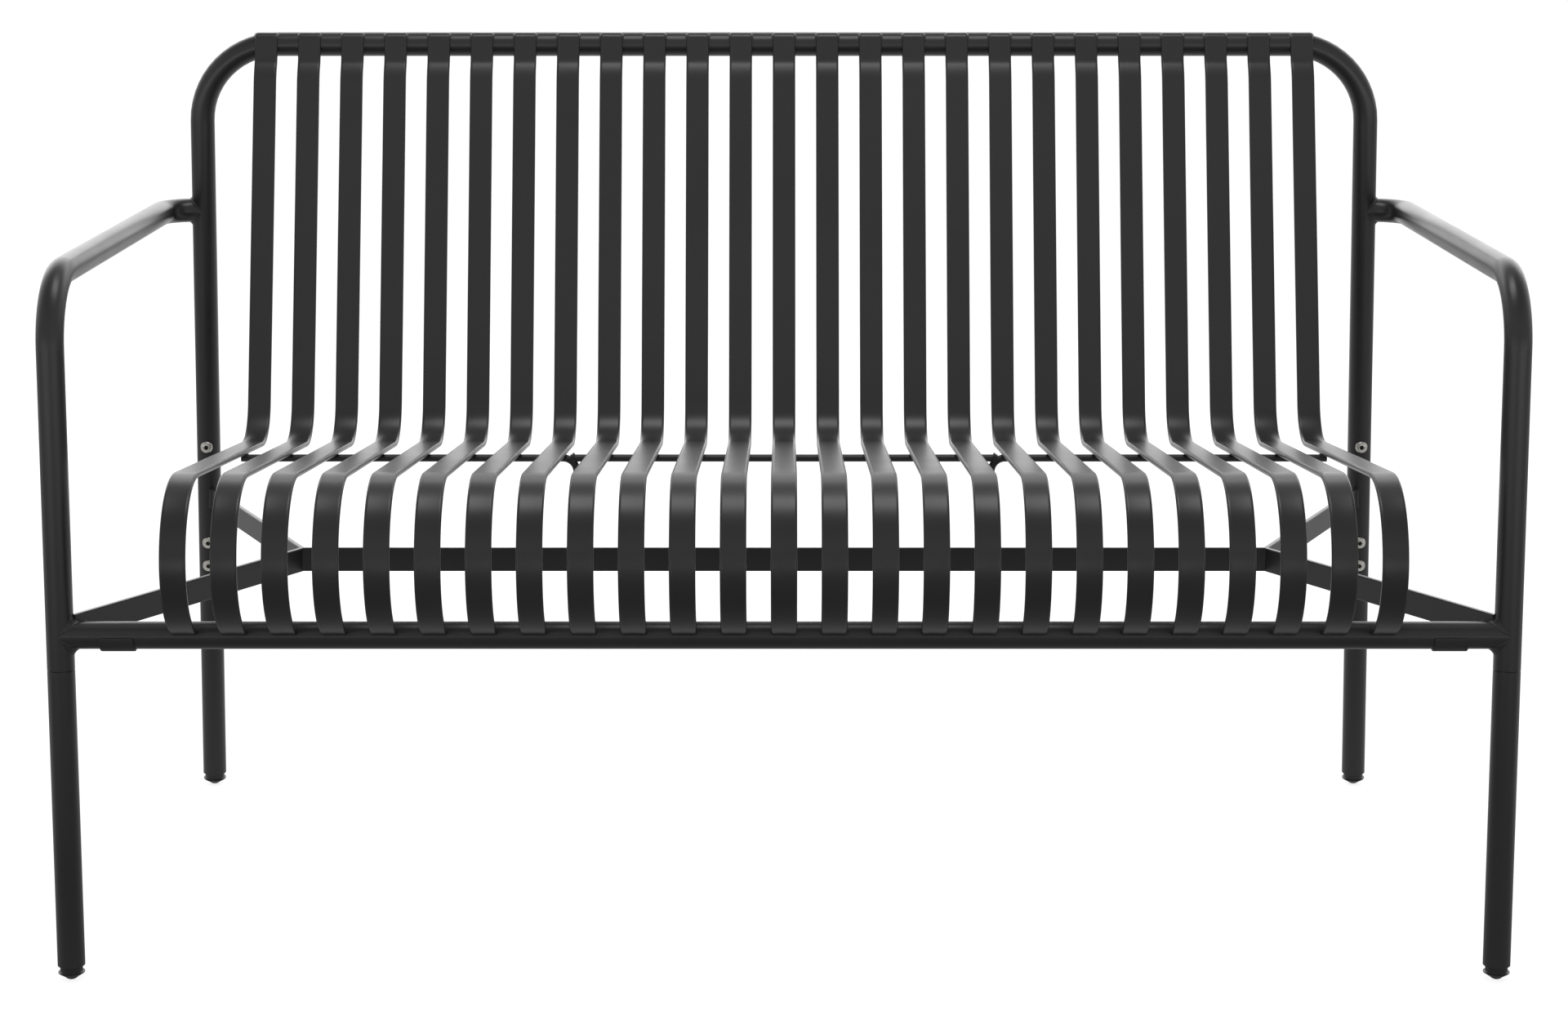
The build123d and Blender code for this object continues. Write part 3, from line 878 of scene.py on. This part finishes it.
def leg_screws():
    """The screws of all four legs: one behind each front leg and three in front of each upright."""
    front = Vector((LEG_X, LEG_Y, FRONT_SEAM_Z + FRONT_SCREW_RISE))
    places = [seat_on_tube(front, Vector((0, 0, 1)), Vector((0, 1, 0)))]
    for rise in REAR_SCREW_RISES:
        point = rear_point(REAR_SEAM_Z) + REAR_WAY * rise
        places.append(seat_on_tube(point, REAR_WAY, Vector((0, -1, 0))))
    screws = bmesh.new()
    shade_inserts = bmesh.new()
    for place in places:
        button_screw(screws, place)
        socket_shade_insert(shade_inserts, place)
    both_sides(screws)
    both_sides(shade_inserts)
    screws = new_piece("button_head_screws", finished(screws, "button_head_screws"), STAINLESS)
    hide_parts("leg_bolts")
    # A dark insert in each socket paints the shade of its recess
    new_piece("screw_socket_shade", finished(shade_inserts, "screw_socket_shade"), PAINTED_SOCKET_SHADE)


def stacking_pad(side, name):
    """A saddle of moulded rubber under the crossbar, with rounded rims and corners."""
    bm = bmesh.new()
    size = Matrix.Diagonal((PAD_LENGTH, 1.0, PAD_THICKNESS, 1.0))
    turn = Matrix.Rotation(pi / 2, 4, "X")
    bmesh.ops.create_grid(bm, x_segments=1, y_segments=1, size=0.5, matrix=size @ turn)
    bmesh.ops.bevel(
        bm, geom=bm.verts[:], offset=PAD_CORNER, segments=4, profile=0.5, affect="VERTICES", material=-1
    )
    bmesh.ops.delete(bm, geom=bm.faces[:], context="FACES_ONLY")
    for x in PAD_CUTS:
        geometry = bm.verts[:] + bm.edges[:]
        bmesh.ops.bisect_plane(bm, geom=geometry, dist=CUT_DISTANCE, plane_co=(x, 0, 0), plane_no=(1, 0, 0))
    middle = TUBE_RADIUS + PAD_THICKNESS / 2
    place = Matrix.Translation(CROSSBAR + Vector((0, -middle, 0))) @ Matrix.Rotation(pi / 2, 4, "X")
    bmesh.ops.transform(bm, matrix=place, verts=bm.verts)
    ring = bm.edges[:]
    closed(bm, ring)
    end = turned(bm, ring, CROSSBAR, SIDEWAYS, PAD_END_TURN, PAD_END_STEPS)
    end = turned(bm, end, CROSSBAR, SIDEWAYS, PAD_MIDDLE_TURN, PAD_MIDDLE_STEPS)
    closed(bm, turned(bm, end, CROSSBAR, SIDEWAYS, PAD_END_TURN, PAD_END_STEPS))
    for vert in bm.verts:
        arm = Vector((0, vert.co.y, vert.co.z)) - CROSSBAR
        left = radians(90) - abs(atan2(arm.y, -arm.z))
        depth = PAD_ROUND - min(max(left * middle, 0.0), PAD_ROUND)
        vert.co.x *= 1 - (PAD_ROUND - (PAD_ROUND**2 - depth * depth) ** 0.5) / (PAD_LENGTH / 2)
    bmesh.ops.translate(bm, vec=(side * PAD_X, 0, 0), verts=bm.verts)
    pad = new_piece(name, finished(bm, name), RUBBER)
    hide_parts(name.replace("moulded_", ""))


def glide(point, way, name):
    """A domed glide with a rounded collar under a leg's end."""
    bm = bmesh.new()
    dome = [(DOME_RADIUS * sin(radians(angle)), -DOME_RADIUS * cos(radians(angle))) for angle in DOME_ANGLES]
    along = way.to_track_quat("Z", "Y").to_matrix().to_4x4()
    verts = lathed(bm, [*dome, *NECK_OUTLINE, *STEM_OUTLINE], GLIDE_SEGMENTS)
    bmesh.ops.transform(bm, matrix=Matrix.Translation(point) @ along, verts=verts)
    for vert in bm.verts:
        vert.co.z = max(vert.co.z, 0.0)
    foot = new_piece("domed_" + name, finished(bm, name), PLASTIC)
    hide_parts(name)


leg_screws()
FRONT_FOOT = Vector((LEG_X, LEG_Y, REAR_FOOT.z))
for side, hand in ((1, "right"), (-1, "left")):
    stacking_pad(side, f"moulded_{hand}_stacking_pad")
    across = Matrix.Diagonal((side, 1, 1))
    glide(across @ FRONT_FOOT, Vector((0, 0, 1)), f"{hand}_front_foot")
    glide(across @ REAR_FOOT, across @ REAR_WAY, f"{hand}_rear_foot")


# Studio. In levels, 1 is white. Spans are where a level changes, along a direction or in metres on the floor.
BEHIND_SPAN = (-0.5, 0.3)
FRONT_SPAN = (0.0, 0.35)
FRONT_LOW = 0.25
FRONT_HIGH = 0.66
CEILING_SPAN = (0.35, 0.8)
CEILING_LEVEL = 0.4
FILL_LEVEL = 0.85
FLOOR_HALF_SIZE = 60.0
FLOOR_COLOUR = 0.22
FLOOR_LIFT = 0.86
FLOOR_REACH = 3.2
# Painted levels of the floor's glow in reflections, along Y in metres: painted shade under and in front of
# the bench, painted light far off
PAINTED_FLOOR_LEVELS = (
    (-3.2, 0.8),
    (-2.2, 0.25),
    (-1.6, 0.05),
    (-0.5, 0.02),
    (-0.22, 0.2),
    (0.1, 0.35),
    (0.6, 0.6),
    (3.2, 1.25),
)
# The floor's glow in reflections is painted lighter to the front sides and painted darker to the back sides
ASIDE_SPAN = (0.9, 1.4)
CORNER_SPAN = (-0.5, 0.5)
FRONT_CORNERS = 1.8
BACK_CORNERS = -0.65
CAMERA_LENS = 74.16
CAMERA_SHIFT = -0.10
CAMERA_PLACE = (0.0, -3.0095, 0.982)
CAMERA_DIP = 8.80


def link_math(tree, operation, first, second):
    """A Math node on two sockets or numbers."""
    step = tree.nodes.new("ShaderNodeMath")
    step.operation = operation
    for index, value in enumerate((first, second)):
        if isinstance(value, bpy.types.NodeSocket):
            tree.links.new(value, step.inputs[index])
        else:
            step.inputs[index].default_value = value
    return step.outputs["Value"]


def fade(tree, source, span, low, high):
    """A value that runs from low to high while the source runs over a span."""
    change = tree.nodes.new("ShaderNodeMapRange")
    for socket, value in (("From Min", span[0]), ("From Max", span[1]), ("To Min", low), ("To Max", high)):
        change.inputs[socket].default_value = value
    tree.links.new(source, change.inputs["Value"])
    return change.outputs["Result"]


def in_mirror(tree, rays):
    """1 for what a reflection or glass shows, else 0."""
    return link_math(tree, "MAXIMUM", rays.outputs["Is Glossy Ray"], rays.outputs["Is Transmission Ray"])


def studio_world():
    """White behind the bench, and in reflections dimmer above and behind the camera, as in a real studio."""
    world = bpy.data.worlds.new("studio")
    bpy.context.scene.world = world
    world.use_nodes = True
    tree = world.node_tree
    rays = tree.nodes.new("ShaderNodeLightPath")
    direction = tree.nodes.new("ShaderNodeTexCoord")
    parts = tree.nodes.new("ShaderNodeSeparateXYZ")
    tree.links.new(direction.outputs["Generated"], parts.inputs["Vector"])
    behind = fade(tree, parts.outputs["Y"], BEHIND_SPAN, 0.0, 1.0)
    front = fade(tree, parts.outputs["Z"], FRONT_SPAN, FRONT_LOW, FRONT_HIGH)
    above = fade(tree, parts.outputs["Z"], CEILING_SPAN, 1.0, CEILING_LEVEL)
    room = link_math(tree, "MULTIPLY", link_math(tree, "MAXIMUM", behind, front), above)
    mirrored = in_mirror(tree, rays)
    shown = link_math(tree, "MAXIMUM", rays.outputs["Is Camera Ray"], mirrored)
    room = link_math(tree, "MULTIPLY", room, mirrored)
    room = link_math(tree, "MAXIMUM", room, rays.outputs["Is Camera Ray"])
    hidden = link_math(tree, "SUBTRACT", 1.0, shown)
    level = link_math(tree, "ADD", room, link_math(tree, "MULTIPLY", hidden, FILL_LEVEL))
    tree.links.new(level, tree.nodes["Background"].inputs["Strength"])
    tree.nodes["Background"].inputs["Color"].default_value = grey(1.0)


def studio_floor():
    """A pale floor, white up to the horizon, with a faint shadow. In reflections only, it glows with painted
    light and shade: dim under and in front of the bench, brighter far off, brighter to the front sides and
    darker to the back sides.
    """
    bm = bmesh.new()
    bmesh.ops.create_grid(bm, x_segments=1, y_segments=1, size=FLOOR_HALF_SIZE)
    floor_mesh = bpy.data.meshes.new("floor")
    bm.to_mesh(floor_mesh)
    bm.free()
    floor = bpy.data.objects.new("floor", floor_mesh)
    bpy.context.scene.collection.objects.link(floor)
    paper = bpy.data.materials.new("studio_paper")
    paper.use_nodes = True
    tree = paper.node_tree
    matt = tree.nodes["Principled BSDF"]
    matt.inputs["Base Color"].default_value = grey(FLOOR_COLOUR)
    matt.inputs["Roughness"].default_value = 0.9
    matt.inputs["Specular IOR Level"].default_value = 0.0
    matt.inputs["Emission Color"].default_value = grey(1.0)
    rays = tree.nodes.new("ShaderNodeLightPath")
    place = tree.nodes.new("ShaderNodeTexCoord")
    parts = tree.nodes.new("ShaderNodeSeparateXYZ")
    tree.links.new(place.outputs["Object"], parts.inputs["Vector"])
    mirrored = in_mirror(tree, rays)
    reach = fade(tree, parts.outputs["Y"], (-FLOOR_REACH, FLOOR_REACH), 0.0, 1.0)
    aside = fade(tree, link_math(tree, "ABSOLUTE", parts.outputs["X"], 0.0), ASIDE_SPAN, 0.0, 1.0)
    lean = fade(tree, parts.outputs["Y"], CORNER_SPAN, FRONT_CORNERS, BACK_CORNERS)
    corners = link_math(tree, "ADD", 1.0, link_math(tree, "MULTIPLY", aside, lean))
    level = tree.nodes.new("ShaderNodeValToRGB")
    stops = level.color_ramp.elements
    stops[0].color = grey(PAINTED_FLOOR_LEVELS[0][1])
    stops[1].color = grey(PAINTED_FLOOR_LEVELS[-1][1])
    for y, brightness in PAINTED_FLOOR_LEVELS[1:-1]:
        stops.new((y / FLOOR_REACH + 1) / 2).color = grey(brightness)
    tree.links.new(reach, level.inputs["Fac"])
    # Painted light and shade of the floor, seen only in reflections
    painted_floor_glow = link_math(tree, "MULTIPLY", mirrored, link_math(tree, "MULTIPLY", corners, level.outputs["Color"]))
    glow = link_math(tree, "MAXIMUM", rays.outputs["Is Camera Ray"], painted_floor_glow)
    lift = link_math(tree, "MULTIPLY", glow, FLOOR_LIFT)
    tree.links.new(lift, matt.inputs["Emission Strength"])
    floor_mesh.materials.append(paper)


def soft_lamp(name, place, aim, size, radiance):
    """A rectangular soft box of a brightness, where 1 is white, that isn't itself in the picture."""
    lamp_data = bpy.data.lights.new(name, "AREA")
    lamp_data.shape = "RECTANGLE"
    lamp_data.size, lamp_data.size_y = size
    lamp_data.energy = radiance * pi * size[0] * size[1]
    lamp = bpy.data.objects.new(name, lamp_data)
    lamp.location = place
    lamp.rotation_euler = (Vector(aim) - Vector(place)).to_track_quat("-Z", "Y").to_euler()
    lamp.visible_camera = False
    bpy.context.scene.collection.objects.link(lamp)


studio_world()
studio_floor()
soft_lamp("overhead_box", place=(0, -0.35, 2.45), aim=(0, -0.35, 0), size=(1.25, 0.8), radiance=3.9)
soft_lamp("back_bank", place=(0, 3.0, 2.1), aim=(0, 0, 1.0), size=(7.0, 3.0), radiance=1.55)

camera_data = bpy.data.cameras.new("camera")
camera_data.sensor_width = 36.0
camera_data.lens = CAMERA_LENS
camera_data.shift_y = CAMERA_SHIFT
camera = bpy.data.objects.new("camera", camera_data)
camera.location = CAMERA_PLACE
camera.rotation_euler = (radians(90 - CAMERA_DIP), 0.0, 0.0)
bpy.context.scene.collection.objects.link(camera)
bpy.context.scene.camera = camera
bpy.context.scene.view_settings.view_transform = "Standard"
